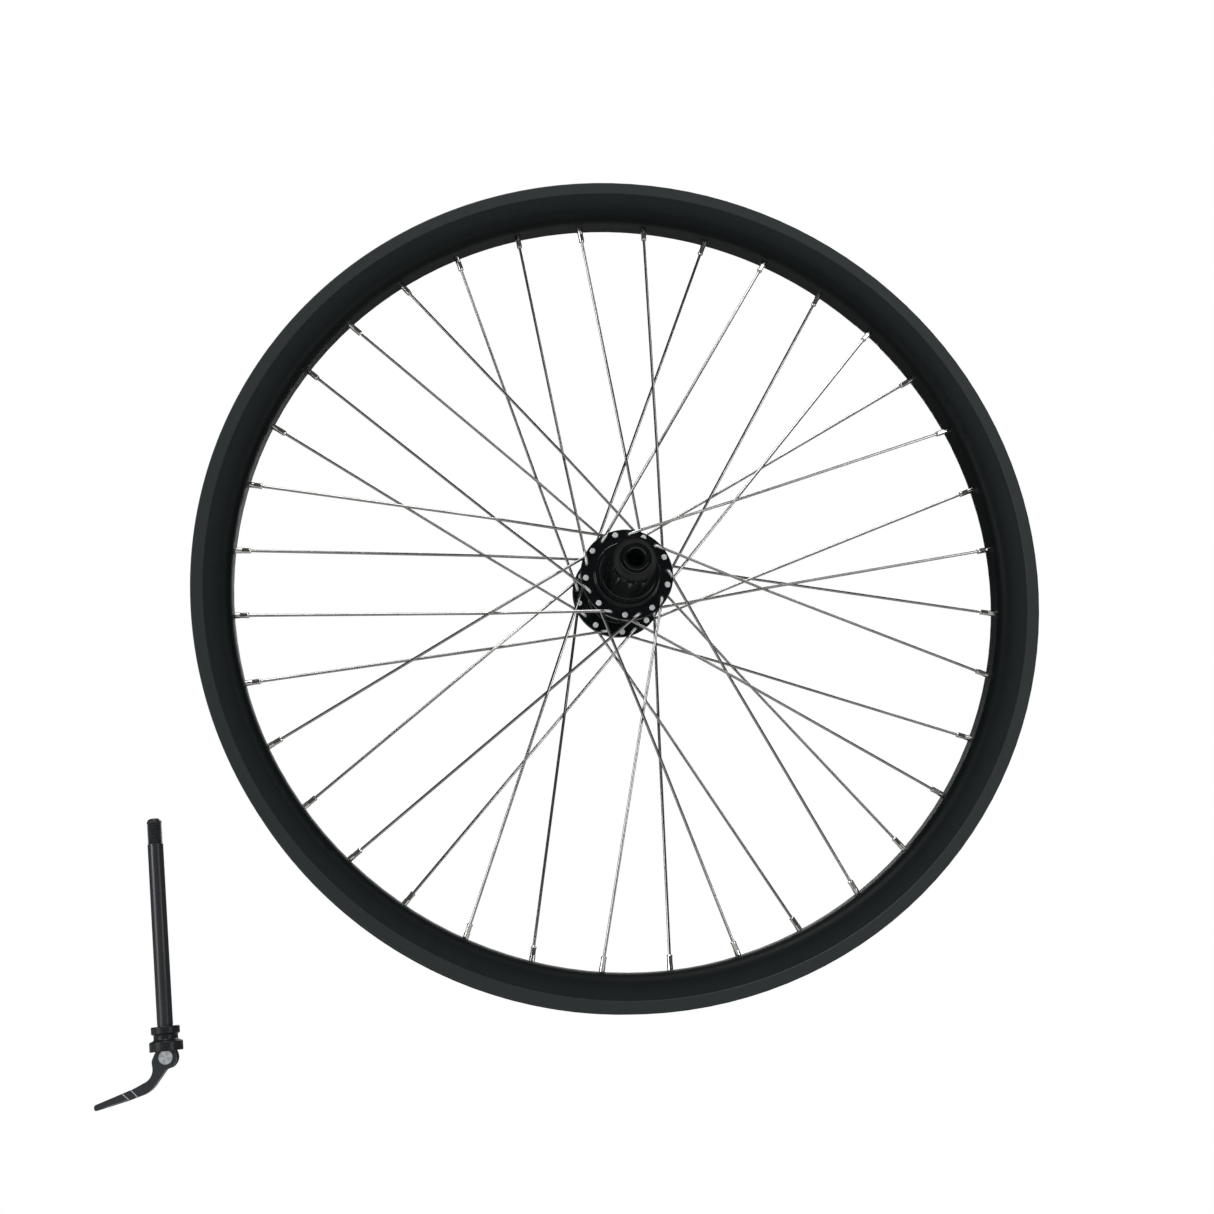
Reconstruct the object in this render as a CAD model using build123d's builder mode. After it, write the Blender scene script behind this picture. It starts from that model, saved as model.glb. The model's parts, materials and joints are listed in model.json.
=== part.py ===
from build123d import *

import os
from math import cos, radians, sin

# A bicycle's rear wheel for a through-axle frame, with the lever-operated axle lying beside it.
#
# Frame, in millimetres: the origin is the wheel's centre on the hub axis, +Y runs along the hub
# axis towards the brake-disc side, the cassette side faces -Y, and +Z is up.
# Angles round the wheel are seen from the cassette side, counter-clockwise from +X.

os.makedirs("parts", exist_ok=True)

# ---------------------------------------------------------------- driving dimensions
# Rim: a 27.5 inch (584) bead seat with tall lips
RIM_R = 298.0  # over the lips
BEAD_R = 292.0  # bead seat
RIM_HALF = 17.4  # half the width over the lips
INSIDE_HALF = 15.0  # half the width between the lips
BED_R = 270.5  # inner face, towards the hub
BED_WALL = 2.2
WELL_R = 287.6  # bottom of the tyre well
WELL_WALL = 1.6
NIPPLE_HOLE_R = 2.2
ACCESS_HOLE_R = 4.2
VALVE_HOLE_R = 4.25
VALVE_ANGLE = -100.0

# Lacing: three-cross, one flange for every second rim hole
SPOKES = 36
FIRST_HOLE_ANGLE = -5.0
LACING_TURN = 60.0  # from a spoke's rim hole round to its flange hole
SPOKE_R = 1.0
SPOKE_HEAD_R = 2.0
SPOKE_HEAD_T = 1.1
HEAD_CHAMFER = 0.5
SCREWED_IN = 4.5  # spoke end below the bed, inside its nipple
FLANGE_R = 32.5
FLANGE_HOLES_R = 29.0
FLANGE_HOLE_R = 1.3
FLANGE_T = 3.2
DRIVE_FLANGE_Y = -21.0
DISC_FLANGE_Y = 35.0
RIM_STAGGER = 2.1  # rim holes step to each side of the middle
CROSSING_AT = 0.322  # the outermost crossing, as a share of the spoke's length
CROSSING_GAP = 2.2  # between the two spokes' centres there
FLANGE_RUN = 8.0  # how far an outer-face spoke lies flat before it bends over the flange's edge
NIPPLE_OUT = 10.2  # nipple length that stands out of the bed

# Hub: 142 mm between the frame's faces, 12 mm through axle
HUB_HALF = 71.0
AXLE_BORE_R = 6.05
BORE_CHAMFER = 1.0
TUBE_R = 7.5
TUBE_HALF = 66.0
BEARING_R = 14.0
BEARING_W = 7.0
SPACER_R = 9.3
SHELL_BEARINGS = (-12.0, 44.0)  # low face of each bearing in the shell
FREEHUB_BEARINGS = (-64.0, -36.0)  # low face of each bearing in the freehub
SHELL_END_Y = -25.5
DISC_FACE_Y = 52.2
DISC_PILOT_R = 17.45
DISC_BOLT_R = 22.0
RATCHET_TEETH = 36
RATCHET_TIP_R = 17.0
RATCHET_ROOT_R = 18.2
RATCHET_OUT_R = 20.0
RATCHET_LOW_Y = -25.0
RATCHET_HIGH_Y = -15.5
RATCHET_TURN = -2.0  # angle of a tooth's steep face
FREEHUB_R = 17.2
FREEHUB_ROOT_R = 15.9
NOSE_R = 15.6

# Bearings, 15 x 28 x 7
BALLS = 11
BALL_R = 1.75
BALL_CIRCLE_R = 10.8
GROOVE_R = 1.8

# Pawls, in the freehub's nose
PAWLS = 3
PAWL_PIVOT_AT = 13.5
PAWL_PIVOT_R = 1.8
PAWL_LENGTH = 6.5
PAWL_LOW_Y = -24.5
PAWL_HIGH_Y = -16.0
SPRING_Y = -20.2

# Through axle: 12 mm, 160 mm from the collar to the tip, lying beside and behind the wheel
AXLE_TILT = 4.5
LEVER_PIN_AT = (-334.7, 224.8, -319.0)
SHAFT_R = 6.0
NECK_R = 5.8  # through the collar
NECK_ABOVE_COLLAR = 1.0
COLLAR_TOP = 23.3  # from the lever's pin
SHAFT_UNDER_COLLAR = 160.0
SHAFT_TIP = COLLAR_TOP + SHAFT_UNDER_COLLAR
THREAD_L = 20.0
THREAD_PITCH = 1.5
THREAD_R = 5.85
THREAD_DEPTH = 0.75
TIP_TAPER = 3.0
SOCKET_R = 2.5
SOCKET_DEPTH = 12.0
SKIRT_R = 12.7
SKIRT_IN_R = 11.7
SKIRT_LOW = 4.6
COLLAR_SEAT = 10.8  # ceiling inside the collar's skirt
COLLAR_BORE_R = 6.08
PIN_R = 3.0
PIN_PLAY = 0.06
PIN_HEAD_R = 5.25
PIN_HEAD_T = 1.0
PIN_RECESS = 1.1  # depth of the round recess in each ear
EAR_OUT = 8.6  # half the width over the lever's two ears
EAR_IN = 4.7
TONGUE_HALF = 4.4
CAM_R = 8.35
CAM_OFFSET = 0.4
CAM_LEAD = 15.0  # the lever closes this far beyond its rest before the cam's peak
CAM_SEAT_R = 9.0
BOSS_R = 8.4
BOSS_DROP = 0.3
TONGUE_R = 5.6
SLOT_R = 7.6


def round_wheel(radius, angle, y=0.0):
    """A point at a radius and an angle round the wheel, at a place along the hub axis."""
    return Vector(radius * cos(radians(angle)), y, radius * sin(radians(angle)))


def rim_angle(k):
    """Angle of rim hole k."""
    return FIRST_HOLE_ANGLE - 360.0 / SPOKES * k


def flange_y(k):
    """Odd rim holes belong to the cassette side's flange, even ones to the disc side's."""
    return DRIVE_FLANGE_Y if k % 2 else DISC_FLANGE_Y


def lacing_sign(k):
    """Holes 0 and 1 of every four lace counter-clockwise, holes 2 and 3 clockwise."""
    return 1 if k % 4 < 2 else -1


def on_outer_face(k):
    """Whether spoke k lies on its flange's outer face."""
    return lacing_sign(k) == (1 if k % 2 else -1)


def spoke_points(k):
    """Spoke k's head, elbow, crossing and rim hole."""
    side = 1 if flange_y(k) > 0 else -1
    face = FLANGE_T / 2 + SPOKE_R + 0.2
    lie = 1 if on_outer_face(k) else -1
    hub_angle = rim_angle(k) + LACING_TURN * lacing_sign(k)
    elbow = round_wheel(FLANGE_HOLES_R, hub_angle, flange_y(k) + side * lie * face)
    head = round_wheel(FLANGE_HOLES_R, hub_angle, flange_y(k) - side * lie * (FLANGE_T / 2 + 0.3))
    hole = round_wheel(BED_R, rim_angle(k), side * RIM_STAGGER)
    crossing = elbow + (hole - elbow) * CROSSING_AT
    middle = flange_y(k) + (side * RIM_STAGGER - flange_y(k)) * CROSSING_AT
    crossing.Y = middle - side * lie * CROSSING_GAP / 2
    return head, elbow, crossing, hole


def hole_plane(k):
    """The plane at rim hole k, with its normal along the spoke, away from the hub."""
    crossing, hole = spoke_points(k)[2:]
    return Plane(origin=hole, z_dir=hole - crossing)


# ---------------------------------------------------------------- rim
with BuildPart() as rim:
    with BuildSketch(Plane.XY):
        with BuildLine():
            FilletPolyline(
                (BED_R, 0), (BED_R, 14.0), (289.3, 17.0), (289.8, RIM_HALF), (RIM_R, RIM_HALF),
                (RIM_R, 14.7), (296.4, 14.3), (295.2, INSIDE_HALF), (BEAD_R, INSIDE_HALF),
                (BEAD_R + 0.3, 11.0), (WELL_R, 8.2), (WELL_R, 0),
                radius=[9.0, 0, 0, 0.8, 0.5, 0, 0, 0.8, 0.6, 1.5],
            )
            Line((WELL_R, 0), (BED_R, 0))
        make_face()
        with BuildLine():
            FilletPolyline(
                (BED_R + BED_WALL, 0), (BED_R + BED_WALL, 12.5), (BEAD_R - 1.8, 15.3),
                (BEAD_R - 1.8, 12.0), (WELL_R - WELL_WALL, 9.3), (WELL_R - WELL_WALL, 0),
                radius=[7.2, 0.8, 0.8, 1.2],
            )
            Line((WELL_R - WELL_WALL, 0), (BED_R + BED_WALL, 0))
        make_face(mode=Mode.SUBTRACT)
        mirror(about=Plane.XZ)
    revolve(axis=Axis.Y)
    with Locations([hole_plane(k) for k in range(SPOKES)]):
        Cylinder(NIPPLE_HOLE_R, 8, mode=Mode.SUBTRACT)
    with Locations([
        Plane(origin=round_wheel(WELL_R, rim_angle(k)), z_dir=round_wheel(1, rim_angle(k)))
        for k in range(SPOKES)
    ]):
        Cylinder(ACCESS_HOLE_R, 8, mode=Mode.SUBTRACT)
    with Locations(
        Plane(origin=round_wheel((BED_R + WELL_R) / 2, VALVE_ANGLE), z_dir=round_wheel(1, VALVE_ANGLE))
    ):
        Cylinder(VALVE_HOLE_R, WELL_R - BED_R + 8, mode=Mode.SUBTRACT)
rim.part.label = "rim"
export_step(rim.part, "parts/rim.step")

# ---------------------------------------------------------------- spokes and nipples
SPOKE_TURNS = [Location((0, 0, 0), (0, 40.0 * i, 0)) for i in range(SPOKES // 4)]
SPOKE_GROUPS = {
    "spokes_disc_inner": 0,
    "spokes_drive_outer": 1,
    "spokes_disc_outer": 2,
    "spokes_drive_inner": 3,
}

for name, first in SPOKE_GROUPS.items():
    head, elbow, crossing, hole = spoke_points(first)
    screwed_end = hole - (hole - crossing).normalized() * SCREWED_IN
    along = (hole - elbow).normalized() * FLANGE_RUN
    if on_outer_face(first):
        route = [head, elbow, elbow + Vector(along.X, 0, along.Z), crossing, screwed_end]
        bends = [2.2, 20, 100]
    else:
        route = [head, elbow, crossing, screwed_end]
        bends = [2.2, 100]
    with BuildPart() as one_spoke:
        with BuildLine():
            FilletPolyline(route, radius=bends)
        with BuildSketch(Plane(origin=head, z_dir=elbow - head)):
            Circle(SPOKE_R)
        sweep()
        with BuildSketch(Plane(origin=head, z_dir=head - elbow)):
            Circle(SPOKE_HEAD_R)
        extrude(amount=SPOKE_HEAD_T)
        chamfer(one_spoke.faces().sort_by(Axis((0, 0, 0), tuple(head - elbow)))[-1].edges(), HEAD_CHAMFER)
    with BuildPart() as spoke_group:
        with Locations(SPOKE_TURNS):
            add(one_spoke.part)
    spoke_group.part.label = name
    export_step(spoke_group.part, f"parts/{name}.step")

with BuildPart() as one_nipple:
    with BuildSketch(Plane.XZ):
        with BuildLine():
            Polyline(
                (1.05, -NIPPLE_OUT), (1.75, -NIPPLE_OUT), (2.0, -NIPPLE_OUT + 0.6), (2.0, 2.5),
                (3.0, 3.45), (3.0, 4.1), (2.2, 4.9), (0.6, 4.9), (0.6, -2.0), (1.05, -2.0),
                close=True,
            )
        make_face()
    revolve(axis=Axis.Z)
    with BuildSketch(Plane.XY.offset(-NIPPLE_OUT + 1.2)):
        Circle(2.4)
        Rectangle(3.4, 3.4, mode=Mode.SUBTRACT)
    extrude(amount=5.0, mode=Mode.SUBTRACT)

for name, odd in (("nipples_drive", 1), ("nipples_disc", 0)):
    with BuildPart() as nipple_group:
        with Locations([hole_plane(k) for k in range(SPOKES) if k % 2 == odd]):
            add(one_nipple.part)
    nipple_group.part.label = name
    export_step(nipple_group.part, f"parts/{name}.step")

# ---------------------------------------------------------------- hub shell
DRIVE_OUT_Y, DRIVE_IN_Y = DRIVE_FLANGE_Y - FLANGE_T / 2, DRIVE_FLANGE_Y + FLANGE_T / 2
DISC_IN_Y, DISC_OUT_Y = DISC_FLANGE_Y - FLANGE_T / 2, DISC_FLANGE_Y + FLANGE_T / 2
SHELL_NECK_R = 23.0
FLANGE_EDGE = 0.6
SHOULDER_R = 12.5  # steps that the outer races stand against

with BuildPart() as hub_shell:
    with BuildSketch(Plane.XY):
        with BuildLine():
            FilletPolyline(
                (RATCHET_OUT_R, SHELL_END_Y), (SHELL_NECK_R, SHELL_END_Y), (SHELL_NECK_R, DRIVE_OUT_Y),
                (FLANGE_R, DRIVE_OUT_Y), (FLANGE_R, DRIVE_IN_Y), (SHELL_NECK_R, DRIVE_IN_Y),
                (SHELL_NECK_R, -15.0), (17.0, -5.0), (16.5, 24.0), (22.0, DISC_IN_Y),
                (FLANGE_R, DISC_IN_Y), (FLANGE_R, DISC_OUT_Y), (SHELL_NECK_R, DISC_OUT_Y),
                (20.5, 42.0), (27.0, 44.5), (27.0, DISC_FACE_Y), (DISC_PILOT_R, DISC_FACE_Y),
                (DISC_PILOT_R, 54.4), (BEARING_R, 54.4),
                radius=[0.8, 0.6, FLANGE_EDGE, FLANGE_EDGE, 1.0, 3.0, 8.0, 8.0, 1.0,
                        FLANGE_EDGE, FLANGE_EDGE, 0.6, 3.0, 0.6, 0.5, 0, 0.4],
            )
            Polyline(
                (BEARING_R, 54.4), (BEARING_R, 44.0), (SHOULDER_R, 44.0), (SHOULDER_R, -5.0),
                (BEARING_R, -5.0), (BEARING_R, -14.0), (RATCHET_OUT_R, -14.0),
                (RATCHET_OUT_R, SHELL_END_Y),
            )
        make_face()
    revolve(axis=Axis.Y)
    for y, first in ((DRIVE_FLANGE_Y, 5.0), (DISC_FLANGE_Y, 15.0)):
        with BuildSketch(Plane.XZ.offset(-y)):
            with PolarLocations(FLANGE_HOLES_R, SPOKES // 2, start_angle=first):
                Circle(FLANGE_HOLE_R)
        extrude(amount=FLANGE_T, both=True, mode=Mode.SUBTRACT)
        for side in (1, -1):
            face_y = y - side * FLANGE_T / 2
            with BuildSketch(Plane(origin=(0, face_y, 0), x_dir=(1, 0, 0), z_dir=(0, side, 0))):
                with PolarLocations(FLANGE_HOLES_R, SPOKES // 2, start_angle=side * -first):
                    Circle(FLANGE_HOLE_R + 0.7)
            extrude(amount=0.7, taper=44, mode=Mode.SUBTRACT)
    with BuildSketch(Plane.XZ.offset(-DISC_FACE_Y)):
        with PolarLocations(DISC_BOLT_R, 6, start_angle=30):
            Circle(2.1)
    extrude(amount=7.0, mode=Mode.SUBTRACT)
hub_shell.part.label = "hub_shell"
export_step(hub_shell.part, "parts/hub_shell.step")

# ---------------------------------------------------------------- ratchet ring
# Saw teeth inside: a steep face, then a ramp. The pawls push clockwise on the steep faces.
with BuildPart() as ratchet_ring:
    with BuildSketch(Plane.XZ.offset(-RATCHET_HIGH_Y)):
        Circle(RATCHET_OUT_R)
        with BuildLine():
            teeth = []
            for i in range(RATCHET_TEETH):
                steep = 360.0 / RATCHET_TEETH * i + RATCHET_TURN
                for radius, angle in ((RATCHET_TIP_R, steep), (RATCHET_ROOT_R, steep + 0.3)):
                    teeth.append((radius * cos(radians(angle)), radius * sin(radians(angle))))
            Polyline(teeth, close=True)
        make_face(mode=Mode.SUBTRACT)
    extrude(amount=RATCHET_HIGH_Y - RATCHET_LOW_Y)
ratchet_ring.part.label = "ratchet_ring"
export_step(ratchet_ring.part, "parts/ratchet_ring.step")

# ---------------------------------------------------------------- hub axle, end caps, spacers
with BuildPart() as hub_axle:
    with BuildSketch(Plane.XY):
        with BuildLine():
            Polyline(
                (AXLE_BORE_R, -TUBE_HALF), (TUBE_R, -TUBE_HALF), (TUBE_R, -5.0), (SPACER_R, -5.0),
                (SPACER_R, 44.0), (TUBE_R, 44.0), (TUBE_R, TUBE_HALF), (AXLE_BORE_R, TUBE_HALF),
                close=True,
            )
        make_face()
    revolve(axis=Axis.Y)
hub_axle.part.label = "hub_axle"
export_step(hub_axle.part, "parts/hub_axle.step")

CAP_FACE_R = 9.0
CAP_CHAMFER = 0.5
with BuildPart() as end_cap_drive:
    with BuildSketch(Plane.XY):
        with BuildLine():
            Polyline(
                (AXLE_BORE_R + BORE_CHAMFER, -HUB_HALF), (CAP_FACE_R - CAP_CHAMFER, -HUB_HALF),
                (CAP_FACE_R, -HUB_HALF + CAP_CHAMFER), (CAP_FACE_R, -67.6), (10.4, -67.6),
                (11.0, -67.0), (11.0, -65.4), (SPACER_R, -65.4), (SPACER_R, -64.0), (TUBE_R, -64.0),
                (TUBE_R, -TUBE_HALF), (AXLE_BORE_R, -TUBE_HALF),
                (AXLE_BORE_R, -HUB_HALF + BORE_CHAMFER),
                close=True,
            )
        make_face()
    revolve(axis=Axis.Y)
end_cap_drive.part.label = "end_cap_drive"
export_step(end_cap_drive.part, "parts/end_cap_drive.step")

with BuildPart() as end_cap_disc:
    with BuildSketch(Plane.XY):
        with BuildLine():
            Polyline(
                (AXLE_BORE_R + BORE_CHAMFER, HUB_HALF), (CAP_FACE_R - CAP_CHAMFER, HUB_HALF),
                (CAP_FACE_R, HUB_HALF - CAP_CHAMFER), (CAP_FACE_R, 67.2), (10.5, 66.0), (10.5, 52.9),
                (SPACER_R, 52.9), (SPACER_R, 51.0), (TUBE_R, 51.0), (TUBE_R, TUBE_HALF),
                (AXLE_BORE_R, TUBE_HALF), (AXLE_BORE_R, HUB_HALF - BORE_CHAMFER),
                close=True,
            )
        make_face()
    revolve(axis=Axis.Y)
end_cap_disc.part.label = "end_cap_disc"
export_step(end_cap_disc.part, "parts/end_cap_disc.step")

# Rings round the axle: name, inner radius, outer radius, low end, high end
RINGS = (
    ("hub_spacer", TUBE_R, SPACER_R, -29.0, -12.0),
    ("freehub_spacer", TUBE_R, SPACER_R, -57.0, -36.0),
    ("freehub_outer_seal", 10.2, 14.7, -64.9, -64.1),
    ("freehub_inner_seal", 16.0, 19.4, -26.2, -25.8),
    ("disc_side_seal", 11.4, BEARING_R, 51.3, 52.3),
)
for name, inner, outer, low, high in RINGS:
    with BuildPart() as ring:
        with BuildSketch(Plane.XZ.offset(-low)):
            Circle(outer)
            Circle(inner, mode=Mode.SUBTRACT)
        extrude(amount=low - high)
    ring.part.label = name
    export_step(ring.part, f"parts/{name}.step")

# ---------------------------------------------------------------- bearings
RACE_EDGE_R = (9.6, 12.0)  # the inner race's outside and the outer race's inside
CAGE_R = (10.35, 11.25)
BALL_TURNS = [Location((0, 0, 0), (0, 360.0 / BALLS * i, 0)) for i in range(BALLS)]
BEARINGS = {
    "shell_drive": SHELL_BEARINGS[0],
    "shell_disc": SHELL_BEARINGS[1],
    "freehub_outer": FREEHUB_BEARINGS[0],
    "freehub_inner": FREEHUB_BEARINGS[1],
}

for name, low in BEARINGS.items():
    middle = low + BEARING_W / 2
    centre = (BALL_CIRCLE_R, middle)
    for race, inner, outer in (
        ("inner_race", TUBE_R, RACE_EDGE_R[0]),
        ("outer_race", RACE_EDGE_R[1], BEARING_R),
    ):
        with BuildPart() as race_ring:
            with BuildSketch(Plane.XY):
                with Locations(((inner + outer) / 2, middle)):
                    Rectangle(outer - inner, BEARING_W)
                with Locations(centre):
                    Circle(GROOVE_R, mode=Mode.SUBTRACT)
            revolve(axis=Axis.Y)
        race_ring.part.label = f"{name}_{race}"
        export_step(race_ring.part, f"parts/{name}_{race}.step")
    with BuildPart() as ball_set:
        with Locations(BALL_TURNS):
            with Locations((BALL_CIRCLE_R, middle, 0)):
                Sphere(BALL_R)
    ball_set.part.label = f"{name}_balls"
    export_step(ball_set.part, f"parts/{name}_balls.step")
    with BuildPart() as cage:
        with BuildSketch(Plane.XY):
            with Locations((sum(CAGE_R) / 2, middle)):
                Rectangle(CAGE_R[1] - CAGE_R[0], 4.8)
        revolve(axis=Axis.Y)
        with Locations(BALL_TURNS):
            with Locations((BALL_CIRCLE_R, middle, 0)):
                Cylinder(BALL_R + 0.05, 4, rotation=(0, 90, 0), mode=Mode.SUBTRACT)
    cage.part.label = f"{name}_cage"
    export_step(cage.part, f"parts/{name}_cage.step")

# ---------------------------------------------------------------- freehub body
PAWL_ANGLES = [90.0 + 360.0 / PAWLS * i for i in range(PAWLS)]
PAWL_SLACK = 0.1


def pawl_plane(angle, y):
    """At a pawl's angle, with x away from the axle and y round the wheel, seen from the cassette side."""
    return Plane(origin=(0, y, 0), x_dir=tuple(round_wheel(1, angle)), z_dir=(0, -1, 0))


with BuildPart() as freehub_body:
    with BuildSketch(Plane.XY):
        with BuildLine():
            Polyline(
                (14.7, -66.4), (15.0, -66.4), (15.3, -66.1), (15.3, -65.0), (FREEHUB_ROOT_R, -65.0),
                (FREEHUB_ROOT_R, -30.4), (19.2, -30.4), (19.6, -30.0), (19.6, -26.6), (19.2, -26.2),
                (NOSE_R, -26.2), (NOSE_R, -14.5), (9.6, -14.5), (9.6, -29.0), (BEARING_R, -29.0),
                (BEARING_R, -64.1), (14.7, -64.1),
                close=True,
            )
        make_face()
    revolve(axis=Axis.Y)
    with BuildSketch(Plane.XZ.offset(30.4)):
        with PolarLocations(16.2, 8, start_angle=48, angular_range=280):
            Rectangle(2.4, 5.0)
        with PolarLocations(16.2, 1, start_angle=8):
            Rectangle(2.4, 3.0)
        Circle(FREEHUB_R, mode=Mode.INTERSECT)
        Circle(FREEHUB_ROOT_R - 0.5, mode=Mode.SUBTRACT)
    extrude(amount=34.4)
    for angle in PAWL_ANGLES:
        with BuildSketch(pawl_plane(angle, PAWL_HIGH_Y + PAWL_SLACK)):
            with Locations((PAWL_PIVOT_AT, 0)):
                Circle(PAWL_PIVOT_R + PAWL_SLACK)
            with Locations((14.9, -3.5)):
                Rectangle(4.2, 7.0)
            with Locations((15.4, 0.95)):
                Rectangle(3.8, 1.9)
        extrude(amount=PAWL_HIGH_Y - PAWL_LOW_Y + 2 * PAWL_SLACK, mode=Mode.SUBTRACT)
    with BuildSketch(Plane.XZ.offset(-SPRING_Y)):
        Circle(NOSE_R + 0.2)
        Circle(15.35, mode=Mode.SUBTRACT)
    extrude(amount=0.4, both=True, mode=Mode.SUBTRACT)
freehub_body.part.label = "freehub_body"
export_step(freehub_body.part, "parts/freehub_body.step")

for i, angle in enumerate(PAWL_ANGLES):
    with BuildPart() as pawl:
        with BuildSketch(pawl_plane(angle, PAWL_HIGH_Y)):
            with Locations((PAWL_PIVOT_AT, 0)):
                Circle(PAWL_PIVOT_R)
            with BuildLine():
                Polyline(
                    (PAWL_PIVOT_AT + PAWL_PIVOT_R, 0), (15.25, -PAWL_LENGTH), (13.0, -PAWL_LENGTH),
                    (13.0, 0),
                    close=True,
                )
            make_face()
        extrude(amount=PAWL_HIGH_Y - PAWL_LOW_Y)
        with BuildSketch(Plane.XZ.offset(-SPRING_Y)):
            Circle(NOSE_R + 2)
            Circle(14.2, mode=Mode.SUBTRACT)
        extrude(amount=0.5, both=True, mode=Mode.SUBTRACT)
    pawl.part.label = f"pawl_{i + 1}"
    export_step(pawl.part, f"parts/pawl_{i + 1}.step")

with BuildPart() as pawl_spring:
    with BuildSketch(Plane.XY):
        with Locations((15.75, SPRING_Y)):
            Circle(0.3)
    revolve(axis=Axis.Y, revolution_arc=335)
pawl_spring.part.label = "pawl_spring"
export_step(pawl_spring.part, "parts/pawl_spring.step")

# ---------------------------------------------------------------- through axle
# In this plane x is across the axle, y runs along it from the lever's pin to the tip, and the
# normal is the pin's own axis, towards the cassette side.
TILT = radians(AXLE_TILT)
AXLE = Plane(origin=LEVER_PIN_AT, x_dir=(cos(TILT), 0, sin(TILT)), z_dir=(0, -1, 0))
AXLE_LINE = Axis(AXLE.origin, AXLE.y_dir)

NECK_TOP = COLLAR_TOP + NECK_ABOVE_COLLAR
THREAD_LOW = SHAFT_TIP - THREAD_L
GROOVES = int((THREAD_L - TIP_TAPER) / THREAD_PITCH)
profile = [(0, 0), (NECK_R, 0), (NECK_R, NECK_TOP), (SHAFT_R, NECK_TOP), (SHAFT_R, THREAD_LOW)]
profile.append((THREAD_R, THREAD_LOW))
for i in range(GROOVES):
    groove = THREAD_LOW + THREAD_PITCH * (i + 0.5)
    profile.append((THREAD_R - THREAD_DEPTH, groove))
    profile.append((THREAD_R, groove + THREAD_PITCH / 2))
profile += [(THREAD_R - 0.4, SHAFT_TIP - 1.9), (THREAD_R - 1.3, SHAFT_TIP - 0.6), (3.4, SHAFT_TIP)]
profile += [(SOCKET_R, SHAFT_TIP), (SOCKET_R, SHAFT_TIP - SOCKET_DEPTH)]
profile.append((0, SHAFT_TIP - SOCKET_DEPTH - 1.5))

with BuildPart() as thru_axle_shaft:
    with BuildSketch(AXLE):
        with BuildLine():
            Polyline(profile, close=True)
        make_face()
    revolve(axis=AXLE_LINE)
    with BuildSketch(AXLE):
        Circle(TONGUE_R)
    extrude(amount=TONGUE_HALF, both=True)
    for side in (1, -1):
        with BuildSketch(AXLE.offset(side * TONGUE_HALF)):
            with Locations((0, 1.5)):
                Rectangle(14, 15)
        extrude(amount=side * 4, mode=Mode.SUBTRACT)
    with BuildSketch(AXLE):
        Circle(PIN_R + PIN_PLAY)
    extrude(amount=10, both=True, mode=Mode.SUBTRACT)
thru_axle_shaft.part.label = "thru_axle_shaft"
export_step(thru_axle_shaft.part, "parts/thru_axle_shaft.step")

with BuildPart() as spool_collar:
    with BuildSketch(AXLE):
        with BuildLine():
            FilletPolyline(
                (SKIRT_IN_R, SKIRT_LOW), (SKIRT_R, SKIRT_LOW), (SKIRT_R, 11.8), (9.2, 13.2),
                (9.2, 16.9), (10.85, 17.9), (10.85, COLLAR_TOP), (COLLAR_BORE_R, COLLAR_TOP),
                (COLLAR_BORE_R, COLLAR_SEAT), (SKIRT_IN_R, COLLAR_SEAT), (SKIRT_IN_R, SKIRT_LOW),
                radius=[0.2, 0.5, 1.2, 1.2, 0.6, 0.5, 0.8, 0, 0, 0],
                close=True,
            )
        make_face()
    revolve(axis=AXLE_LINE)
spool_collar.part.label = "spool_collar"
export_step(spool_collar.part, "parts/spool_collar.step")

with BuildPart() as cam_washer:
    with BuildSketch(AXLE):
        with BuildLine():
            Polyline((6.4, 5.6), (11.6, 5.6), (11.6, COLLAR_SEAT), (6.4, COLLAR_SEAT), close=True)
        make_face()
    revolve(axis=AXLE_LINE)
    with BuildSketch(AXLE):
        Circle(CAM_SEAT_R)
    extrude(amount=14, both=True, mode=Mode.SUBTRACT)
cam_washer.part.label = "cam_washer"
export_step(cam_washer.part, "parts/cam_washer.step")

# The lever: two cam-shaped ears, and a cranked blade that ends in a thin rounded tip
with BuildPart() as lever:
    with BuildSketch(AXLE):
        with BuildLine():
            FilletPolyline(
                (0, 0), (-7.6, 4.6), (-10.7, -1.8), (-9.7, -14.0), (-25.0, -20.5), (-54.8, -29.5),
                (-54.3, -33.9), (-31.0, -29.3), (-13.2, -24.7), (-0.4, -9.1), (1.8, -8.2), (0, 0),
                radius=[0, 1.0, 5.0, 10.0, 40.0, 2.2, 1.6, 40.0, 20.0, 2.0, 0],
                close=True,
            )
        make_face()
    extrude(amount=EAR_OUT, both=True)
    chamfer(lever.faces().filter_by(Plane.XZ).edges(), 0.7)
    with BuildSketch(AXLE):
        with Locations((-CAM_OFFSET * sin(radians(CAM_LEAD)), CAM_OFFSET * cos(radians(CAM_LEAD)))):
            Circle(CAM_R)
        with Locations((0, -BOSS_DROP)):
            Circle(BOSS_R)
    extrude(amount=EAR_OUT, both=True)
    with BuildSketch(AXLE):
        Circle(SLOT_R)
        with Locations((1.0, 5.0)):
            Rectangle(24, 15)
        with Locations((6.5, 2.5)):
            Rectangle(13, 20.4)
    extrude(amount=EAR_IN, both=True, mode=Mode.SUBTRACT)
    with BuildSketch(AXLE):
        Circle(PIN_R)
    extrude(amount=EAR_OUT, both=True, mode=Mode.SUBTRACT)
    for side in (1, -1):
        with BuildSketch(AXLE.offset(side * (EAR_OUT - PIN_RECESS))):
            Circle(PIN_HEAD_R + 0.1)
        extrude(amount=side * 2, mode=Mode.SUBTRACT)
lever.part.label = "lever"
export_step(lever.part, "parts/lever.step")

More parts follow.
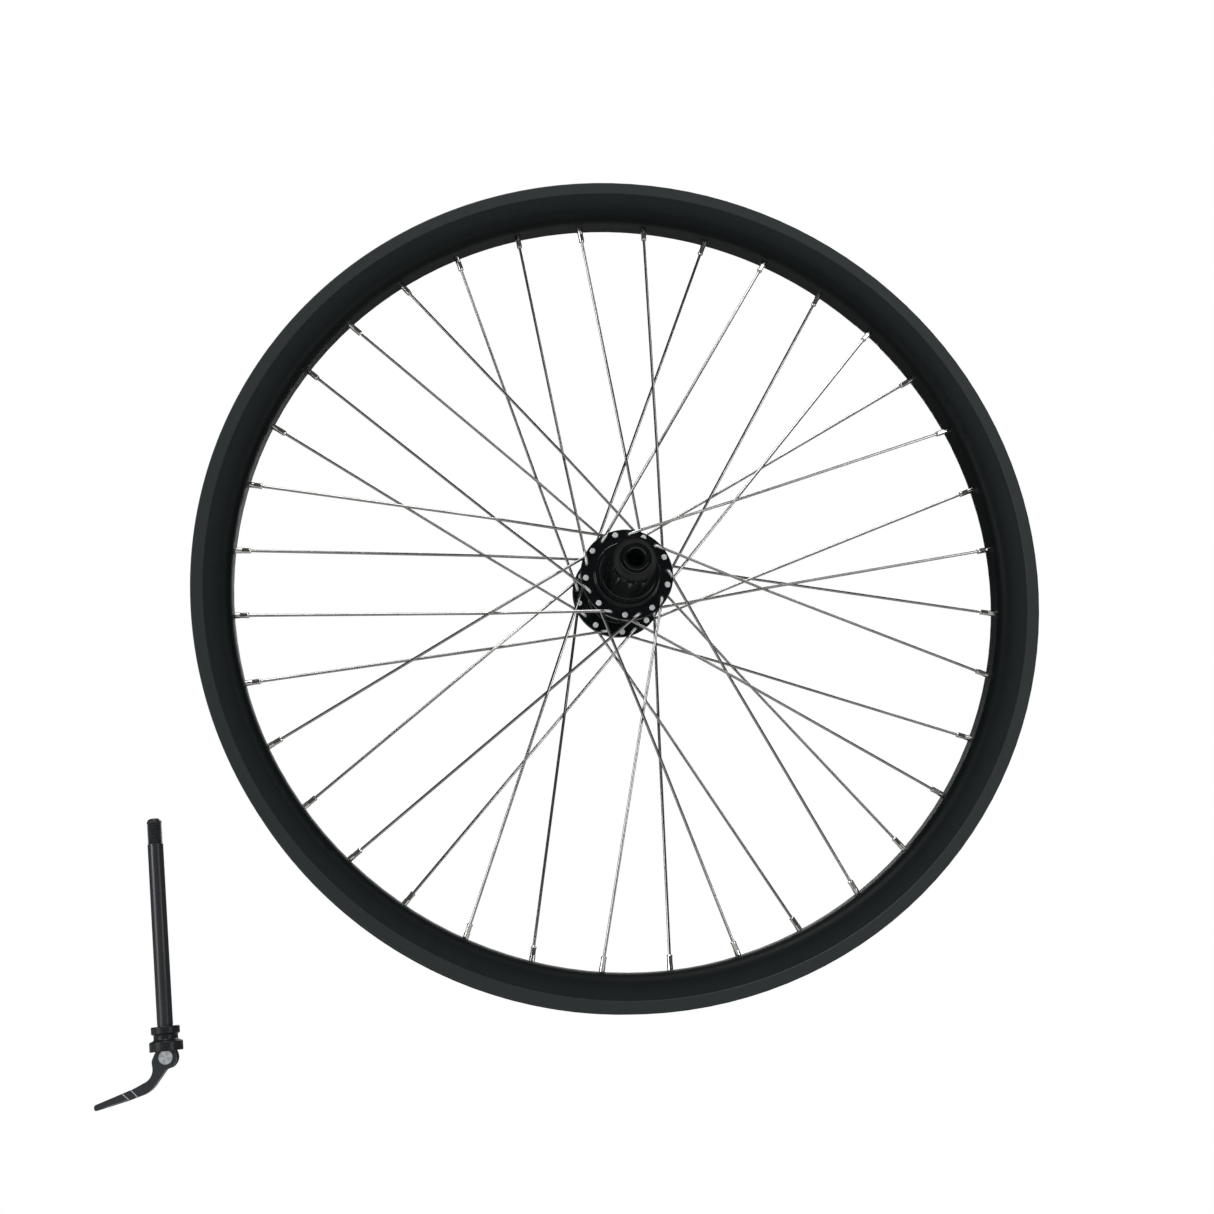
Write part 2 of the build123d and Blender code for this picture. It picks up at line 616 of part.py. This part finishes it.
with BuildPart() as pivot_pin:
    with BuildSketch(AXLE):
        Circle(PIN_R)
    extrude(amount=EAR_OUT - PIN_RECESS, both=True)
    for side in (1, -1):
        with BuildSketch(AXLE.offset(side * (EAR_OUT - PIN_RECESS))):
            Circle(PIN_HEAD_R)
        extrude(amount=side * PIN_HEAD_T)
pivot_pin.part.label = "pivot_pin"
export_step(pivot_pin.part, "parts/pivot_pin.step")
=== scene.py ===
import bpy
import json
from math import cos, radians, sin
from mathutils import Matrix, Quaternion, Vector

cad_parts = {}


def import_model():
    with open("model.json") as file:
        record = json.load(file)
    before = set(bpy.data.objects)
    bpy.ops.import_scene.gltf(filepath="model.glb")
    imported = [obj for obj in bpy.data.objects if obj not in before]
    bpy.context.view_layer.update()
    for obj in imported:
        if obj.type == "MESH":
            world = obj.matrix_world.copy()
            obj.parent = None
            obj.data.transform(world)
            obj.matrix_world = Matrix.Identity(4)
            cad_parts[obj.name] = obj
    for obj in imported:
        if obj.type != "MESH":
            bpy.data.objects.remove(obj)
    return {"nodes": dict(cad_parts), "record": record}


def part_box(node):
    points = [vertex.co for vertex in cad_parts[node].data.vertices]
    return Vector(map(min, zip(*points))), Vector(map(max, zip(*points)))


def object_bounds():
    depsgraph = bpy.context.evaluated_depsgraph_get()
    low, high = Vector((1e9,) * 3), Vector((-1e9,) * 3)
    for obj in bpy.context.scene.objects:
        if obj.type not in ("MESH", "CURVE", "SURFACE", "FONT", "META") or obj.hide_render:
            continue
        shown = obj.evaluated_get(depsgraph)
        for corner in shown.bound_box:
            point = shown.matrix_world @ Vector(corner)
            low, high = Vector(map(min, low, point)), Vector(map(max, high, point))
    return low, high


# A bicycle rear wheel and its lever-operated through axle, in metres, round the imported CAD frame.
# +Y is the hub axis towards the disc side, -Y faces the camera, +Z is up.

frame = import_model()
NODES = frame["nodes"]
CAD_BOX = [list(corner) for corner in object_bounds()]
SLOT_OF = {part["node"]: part["material_slot"] for part in frame["record"]["subparts"]}

JOINTS = {joint["name"]: joint for joint in frame["record"]["behaviour"]["joints"]}

# ---------------------------------------------------------------- materials
RIM_STEP = (0.2889, 0.2897)  # radii between which the box section's paint gives way to the sidewall's
RIM_PAINTED_SHADE = (0.270, 0.288)  # radii over which painted shade darkens the box section towards the hub
HEAD_HIGHLIGHT_INSIDE = 0.0306  # radius within which the spokes' pressed heads get a painted highlight
HEAD_HIGHLIGHT_END = 0.0316


def shader(name, colour, metallic=0.0, roughness=0.4, **sockets):
    """A material with one Principled shader. Values that are the same all over sit on its sockets."""
    made = bpy.data.materials.new(name)
    made.use_nodes = True
    tree = made.node_tree
    principled = tree.nodes["Principled BSDF"]
    principled.inputs["Base Color"].default_value = (*colour, 1)
    principled.inputs["Metallic"].default_value = metallic
    principled.inputs["Roughness"].default_value = roughness
    for socket, value in sockets.items():
        principled.inputs[socket.replace("_", " ")].default_value = value
    return made, tree, principled


def place(tree):
    """The piece's own coordinates, in metres."""
    return tree.nodes.new("ShaderNodeTexCoord").outputs["Object"]


def noise(tree, scale, detail=3.0, stretch=(1, 1, 1)):
    """A noise value over the piece, stretched along its own axes."""
    mapping = tree.nodes.new("ShaderNodeMapping")
    mapping.inputs["Scale"].default_value = stretch
    tree.links.new(place(tree), mapping.inputs["Vector"])
    made = tree.nodes.new("ShaderNodeTexNoise")
    made.inputs["Scale"].default_value = scale
    made.inputs["Detail"].default_value = detail
    tree.links.new(mapping.outputs["Vector"], made.inputs["Vector"])
    return made.outputs["Fac"]


def spread(tree, value, low, high):
    """A value from 0 to 1, spread between two others."""
    made = tree.nodes.new("ShaderNodeMapRange")
    made.inputs["To Min"].default_value = low
    made.inputs["To Max"].default_value = high
    tree.links.new(value, made.inputs["Value"])
    return made.outputs["Result"]


def between(tree, value, low, high):
    """0 below one value and 1 above another, with a smooth step from one to the other."""
    made = tree.nodes.new("ShaderNodeMapRange")
    made.interpolation_type = "SMOOTHSTEP"
    made.inputs["From Min"].default_value = low
    made.inputs["From Max"].default_value = high
    tree.links.new(value, made.inputs["Value"])
    return made.outputs["Result"]


def blend_colours(tree, value, first, second):
    """A colour between two, or between a linked one and a plain one."""
    made = tree.nodes.new("ShaderNodeMix")
    made.data_type = "RGBA"
    tree.links.new(value, made.inputs["Factor"])
    for socket, colour in ((made.inputs["A"], first), (made.inputs["B"], second)):
        if isinstance(colour, tuple):
            socket.default_value = (*colour, 1)
        else:
            tree.links.new(colour, socket)
    return made.outputs["Result"]


def calculate(tree, operation, first, second):
    """One sum on linked or plain values."""
    made = tree.nodes.new("ShaderNodeMath")
    made.operation = operation
    for socket, value in zip(made.inputs, (first, second)):
        if isinstance(value, (int, float)):
            socket.default_value = value
        else:
            tree.links.new(value, socket)
    return made.outputs["Value"]


def bumped(tree, principled, height, strength, distance=0.0002):
    """Raises the surface by a height value."""
    made = tree.nodes.new("ShaderNodeBump")
    made.inputs["Strength"].default_value = strength
    made.inputs["Distance"].default_value = distance
    tree.links.new(height, made.inputs["Height"])
    tree.links.new(made.outputs["Normal"], principled.inputs["Normal"])


def split(tree, vector):
    """A vector's X and Z parts, the ones across the hub axis."""
    parts = tree.nodes.new("ShaderNodeSeparateXYZ")
    tree.links.new(vector, parts.inputs["Vector"])
    return parts.outputs["X"], parts.outputs["Z"]


def length_across(tree, x, z):
    """Length of the X and Z parts together."""
    squares = [calculate(tree, "MULTIPLY", part, part) for part in (x, z)]
    return calculate(tree, "SQRT", calculate(tree, "ADD", *squares), 0.0)


def radius_from_hub(tree):
    """Distance from the hub axis."""
    return length_across(tree, *split(tree, place(tree)))


def from_point(tree, point):
    """The place on the piece, counted from a point."""
    shift = tree.nodes.new("ShaderNodeVectorMath")
    shift.operation = "SUBTRACT"
    shift.inputs[1].default_value = point
    tree.links.new(place(tree), shift.inputs[0])
    return shift.outputs["Vector"]


def rim_finish():
    """Satin charcoal: a dark box section with painted shade towards the hub, and a lighter band outside its
    step.
    """
    made, tree, principled = shader("rim_black", (0.008, 0.011, 0.012), roughness=0.46)
    radius = radius_from_hub(tree)
    step = between(tree, radius, *RIM_STEP)
    # Painted shade: the box section's colour darkens towards the hub, standing in for the shade its rounded
    # profile takes.
    painted_shade_inwards = between(tree, radius, *RIM_PAINTED_SHADE)
    cloud = spread(tree, noise(tree, 28, 4), 0.2, 0.8)
    # The colour at the hub side is the box paint darkened by painted shade.
    inner_with_painted_shade = blend_colours(tree, cloud, (0.0024, 0.0038, 0.0040), (0.0034, 0.0050, 0.0054))
    outer = blend_colours(tree, cloud, (0.0056, 0.0088, 0.0096), (0.0078, 0.0112, 0.0122))
    light = blend_colours(tree, cloud, (0.0205, 0.0252, 0.0262), (0.0245, 0.0298, 0.0308))
    dark = blend_colours(tree, painted_shade_inwards, inner_with_painted_shade, outer)
    tree.links.new(blend_colours(tree, step, dark, light), principled.inputs["Base Color"])
    tree.links.new(spread(tree, noise(tree, 160, 3), 0.40, 0.54), principled.inputs["Roughness"])
    # The painted shade also lowers the specular level towards the hub, dimming its reflections there.
    tree.links.new(spread(tree, painted_shade_inwards, 0.08, 0.19), principled.inputs["Specular IOR Level"])
    bumped(tree, principled, noise(tree, 2600, 2), 0.16, 0.00006)
    return made


def metal_finish(name, dark, light, roughness, grain_scale, stretch=(1, 1, 1), strength=0.08, **sockets):
    """Bare or plated metal with fine grain: colour and roughness wander a little."""
    made, tree, principled = shader(name, light, metallic=1.0, roughness=roughness, **sockets)
    wander = noise(tree, grain_scale, 4, stretch)
    tree.links.new(blend_colours(tree, wander, dark, light), principled.inputs["Base Color"])
    tree.links.new(spread(tree, wander, roughness * 0.75, roughness * 1.3), principled.inputs["Roughness"])
    bumped(tree, principled, wander, strength, 0.00003)
    return made


def spoke_finish():
    """Drawn stainless wire, with a painted highlight: the pressed heads at the hub flanges are paler and
    more matt.
    """
    made, tree, principled = shader("spoke_steel", (0.4, 0.4, 0.39), metallic=1.0, roughness=0.2)
    wander = noise(tree, 90, 4)
    wire = blend_colours(tree, wander, (0.20, 0.20, 0.195), (0.44, 0.44, 0.43))
    # Painted highlight: the heads get a pale, rougher, less metallic colour for the shine they catch.
    beyond_head_highlight = between(tree, radius_from_hub(tree), HEAD_HIGHLIGHT_INSIDE, HEAD_HIGHLIGHT_END)
    tree.links.new(blend_colours(tree, beyond_head_highlight, (0.72, 0.74, 0.76), wire), principled.inputs["Base Color"])
    tree.links.new(spread(tree, beyond_head_highlight, 0.36, 0.15), principled.inputs["Roughness"])
    tree.links.new(spread(tree, beyond_head_highlight, 0.35, 1.0), principled.inputs["Metallic"])
    bumped(tree, principled, wander, 0.08, 0.00003)
    return made


def painted_finish(name, dark, light, roughness, grain_scale=900, strength=0.1, **sockets):
    """Paint or anodising: a fine grain over a colour that wanders a little."""
    made, tree, principled = shader(name, light, roughness=roughness, **sockets)
    tree.links.new(
        blend_colours(tree, noise(tree, 60, 3), dark, light), principled.inputs["Base Color"])
    grain = noise(tree, grain_scale, 3)
    tree.links.new(spread(tree, grain, roughness * 0.8, roughness * 1.25), principled.inputs["Roughness"])
    bumped(tree, principled, grain, strength, 0.00004)
    return made


PAINTED_SHINE_FANS = 4.0  # painted highlight: bright fans painted round the pin's head
TURNING_MARKS = 24000.0  # radians of ripple to the metre


def turned_steel(name):
    """Steel with circular turning marks round the lever pin's axis, and a fan-like painted highlight in its
    colour.
    """
    made, tree, principled = shader(name, (0.62, 0.64, 0.66), metallic=1.0, roughness=0.3)
    low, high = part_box("pivot_pin")
    x, z = split(tree, from_point(tree, (low + high) / 2))
    angle = calculate(tree, "ARCTAN2", z, x)
    # Painted highlight: bright fans in the base colour stand in for the shine the turning marks catch.
    painted_shine = calculate(tree, "SINE", calculate(tree, "MULTIPLY", angle, PAINTED_SHINE_FANS), 0.0)
    painted_shine = calculate(tree, "ADD", calculate(tree, "MULTIPLY", painted_shine, 0.5), 0.5)
    tree.links.new(
        blend_colours(tree, painted_shine, (0.66, 0.71, 0.77), (0.96, 0.98, 1.0)), principled.inputs["Base Color"])
    turning = calculate(tree, "MULTIPLY", length_across(tree, x, z), TURNING_MARKS)
    rings = calculate(tree, "SINE", turning, 0.0)
    bumped(tree, principled, rings, 0.15, 0.00002)
    return made


PIN_AT = Vector(JOINTS["lever_swing"]["pos_m"])
ALONG = Vector(JOINTS["axle_stroke"]["axis"])
ACROSS = Vector((ALONG.z, 0, -ALONG.x))
LINE_FADE = 0.0002  # over which an engraved line ends


def axle_point(across, along):
    """A point by its millimetres across and along the free axle from the lever's pin."""
    return PIN_AT + (ACROSS * across + ALONG * along) / 1000


def distance_along(tree, origin, direction):
    """How far a place lies from an origin, along a direction."""
    made = tree.nodes.new("ShaderNodeVectorMath")
    made.operation = "DOT_PRODUCT"
    made.inputs[1].default_value = direction
    tree.links.new(from_point(tree, origin), made.inputs[0])
    return made.outputs["Value"]


def stripe(tree, start, end, half_width):
    """1 on a thin straight line between two points of the axle's plane, and 0 off it."""
    a, b = axle_point(*start), axle_point(*end)
    forward = (b - a).normalized()
    off = calculate(tree, "ABSOLUTE", distance_along(tree, a, Vector((forward.z, 0, -forward.x))), 0.0)
    on_line = calculate(tree, "SUBTRACT", 1.0, between(tree, off, half_width * 0.8, half_width * 1.2))
    run = distance_along(tree, a, forward)
    length = (b - a).length
    begun = between(tree, run, -LINE_FADE, LINE_FADE)
    over = between(tree, run, length - LINE_FADE, length + LINE_FADE)
    inside = calculate(tree, "MULTIPLY", begun, calculate(tree, "SUBTRACT", 1.0, over))
    return calculate(tree, "MULTIPLY", on_line, inside)


def lever_finish():
    """Satin charcoal with two bare metal lines cut across the blade, and a fine one along its lower edge."""
    made, tree, principled = shader(
        "lever_charcoal", (0.02, 0.024, 0.028), roughness=0.42, Specular_IOR_Level=0.35)
    cloud = noise(tree, 70, 3)
    paint = blend_colours(tree, cloud, (0.0215, 0.0250, 0.0290), (0.0290, 0.0330, 0.0385))
    line = calculate(
        tree, "MAXIMUM", stripe(tree, (-27.2, -20.6), (-22.0, -27.2), 0.00036),
        stripe(tree, (-34.2, -22.4), (-28.4, -28.3), 0.00032))
    edge = calculate(tree, "MULTIPLY", stripe(tree, (-29.4, -28.1), (-47.0, -31.9), 0.0002), 0.45)
    line = calculate(tree, "MAXIMUM", line, edge)
    tree.links.new(blend_colours(tree, line, paint, (0.52, 0.54, 0.60)), principled.inputs["Base Color"])
    tree.links.new(calculate(tree, "MULTIPLY", line, 0.6), principled.inputs["Metallic"])
    grain = noise(tree, 1100, 3)
    tree.links.new(spread(tree, grain, 0.36, 0.52), principled.inputs["Roughness"])
    bumped(tree, principled, calculate(tree, "SUBTRACT", grain, line), 0.14, 0.00005)
    return made


MATERIALS = {
    "rim_black": rim_finish(),
    "spoke_steel": spoke_finish(),
    "nipple_silver": metal_finish("nipple_silver", (0.42, 0.42, 0.40), (0.74, 0.73, 0.70), 0.14, 700),
    "hub_black": painted_finish(
        "hub_black", (0.0018, 0.0030, 0.0034), (0.0030, 0.0044, 0.0050), 0.16, 500, 0.03,
        Specular_IOR_Level=0.38),
    "freehub_black": painted_finish(
        "freehub_black", (0.0018, 0.0030, 0.0034), (0.0032, 0.0046, 0.0052), 0.17, 500, 0.015,
        Specular_IOR_Level=0.42),
    "cap_black": painted_finish(
        "cap_black", (0.0018, 0.0030, 0.0034), (0.0032, 0.0046, 0.0052), 0.14, 500, 0.015,
        Specular_IOR_Level=0.42),
    # Painted light: these colours are raised above the alloy's own dark tone to make up for light that does
    # not reach into the hub bore.
    "axle_alloy": painted_finish(
        "axle_alloy", (0.0110, 0.0140, 0.0150), (0.0170, 0.0200, 0.0215), 0.4, 900, 0.1,
        Specular_IOR_Level=0.3),
    "bearing_steel": metal_finish("bearing_steel", (0.45, 0.45, 0.46), (0.66, 0.66, 0.67), 0.14, 1200),
    "cage_brass": metal_finish("cage_brass", (0.42, 0.28, 0.10), (0.62, 0.45, 0.19), 0.3, 900),
    "seal_rubber": painted_finish(
        "seal_rubber", (0.004, 0.004, 0.004), (0.010, 0.010, 0.010), 0.7, 1400, 0.2),
    "thru_axle_black": painted_finish(
        "thru_axle_black", (0.0155, 0.0170, 0.0200), (0.0215, 0.0235, 0.0280), 0.30, 900, 0.08,
        Specular_IOR_Level=0.5),
    "collar_black": painted_finish(
        "collar_black", (0.0085, 0.0100, 0.0115), (0.0125, 0.0145, 0.0165), 0.32, 900, 0.05,
        Specular_IOR_Level=0.32),
    "washer_brass": metal_finish("washer_brass", (0.38, 0.25, 0.08), (0.60, 0.42, 0.17), 0.35, 900),
    "lever_charcoal": lever_finish(),
    "pin_steel": turned_steel("pin_steel"),
}

SMOOTH_UNDER = radians(32)
FINISH_OF = SLOT_OF | {"spool_collar": "collar_black"}
for name, node in NODES.items():
    node.data.materials.clear()
    node.data.materials.append(MATERIALS[FINISH_OF[name]])
    node.data.shade_smooth()
    node.data.set_sharp_from_angle(angle=SMOOTH_UNDER)

# ---------------------------------------------------------------- floor, light and camera
FLOOR_DROP = 0.04
FLOOR_HALF = 12.0
CAMERA_AT = (-0.16234, -1.20807, -0.29694)
CAMERA_AZIMUTH, CAMERA_ELEVATION, CAMERA_ROLL = 7.0935, 12.9071, -1.7941
LENS, SENSOR = 52.63, 36
WORLD_STRENGTH = 0.08
LIGHTS = (  # name, place, side, power
    ("top", (-0.5, -1.4, 2.8), 1.4, 60),
    ("left", (-2.6, -1.5, 0.3), 1.0, 30),
    ("front", (0.7, -1.1, 0.75), 0.5, 2.4),
    ("low", (1.3, -1.3, -0.25), 0.5, 7),
    ("back", (0.8, 2.2, 1.4), 1.6, 30),
)


def camera():
    """Low on the cassette side, looking up at the wheel."""
    made = bpy.data.objects.new("camera", bpy.data.cameras.new("camera"))
    bpy.context.scene.collection.objects.link(made)
    made.location = CAMERA_AT
    azimuth, elevation = radians(CAMERA_AZIMUTH), radians(CAMERA_ELEVATION)
    look = Vector((sin(azimuth) * cos(elevation), cos(azimuth) * cos(elevation), sin(elevation)))
    made.rotation_mode = "QUATERNION"
    made.rotation_quaternion = look.to_track_quat("-Z", "Y") @ Quaternion((0, 0, 1), radians(CAMERA_ROLL))
    made.data.lens = LENS
    made.data.sensor_width = SENSOR
    made.data.clip_start, made.data.clip_end = 0.01, 60
    bpy.context.scene.camera = made


def white_for_camera(tree, surface, output):
    """Shows white to the camera, and the given shader to everything else."""
    ray = tree.nodes.new("ShaderNodeLightPath")
    white = tree.nodes.new("ShaderNodeEmission")
    chosen = tree.nodes.new("ShaderNodeMixShader")
    tree.links.new(ray.outputs["Is Camera Ray"], chosen.inputs["Fac"])
    tree.links.new(surface, chosen.inputs[1])
    tree.links.new(white.outputs["Emission"], chosen.inputs[2])
    tree.links.new(chosen.outputs["Shader"], output.inputs["Surface"])


def floor():
    """A plain pale floor below the object."""
    mesh = bpy.data.meshes.new("floor")
    z = CAD_BOX[0][2] - FLOOR_DROP
    signs = ((-1, -1), (1, -1), (1, 1), (-1, 1))
    mesh.from_pydata([(x * FLOOR_HALF, y * FLOOR_HALF, z) for x, y in signs], [], [(0, 1, 2, 3)])
    made = bpy.data.objects.new("floor", mesh)
    bpy.context.scene.collection.objects.link(made)
    pale, tree, principled = shader("pale_floor", (0.82, 0.82, 0.81), roughness=0.8)
    white_for_camera(tree, principled.outputs["BSDF"], tree.nodes["Material Output"])
    made.data.materials.append(pale)


def world(strength):
    """An even white surround."""
    made = bpy.data.worlds.new("world")
    made.use_nodes = True
    tree = made.node_tree
    tree.nodes["Background"].inputs["Color"].default_value = (1, 1, 1, 1)
    tree.nodes["Background"].inputs["Strength"].default_value = strength
    white_for_camera(tree, tree.nodes["Background"].outputs["Background"], tree.nodes["World Output"])
    bpy.context.scene.world = made


def area_light(name, at, size, power):
    """A soft square light that faces the wheel's centre."""
    data = bpy.data.lights.new(name, "AREA")
    data.size = size
    data.energy = power
    made = bpy.data.objects.new(name, data)
    bpy.context.scene.collection.objects.link(made)
    made.location = at
    made.rotation_mode = "QUATERNION"
    made.rotation_quaternion = (-Vector(at)).to_track_quat("-Z", "Y")


camera()
floor()
world(WORLD_STRENGTH)
for light in LIGHTS:
    area_light(*light)

bpy.context.scene.view_settings.view_transform = "Standard"
bpy.context.scene.view_settings.look = "None"
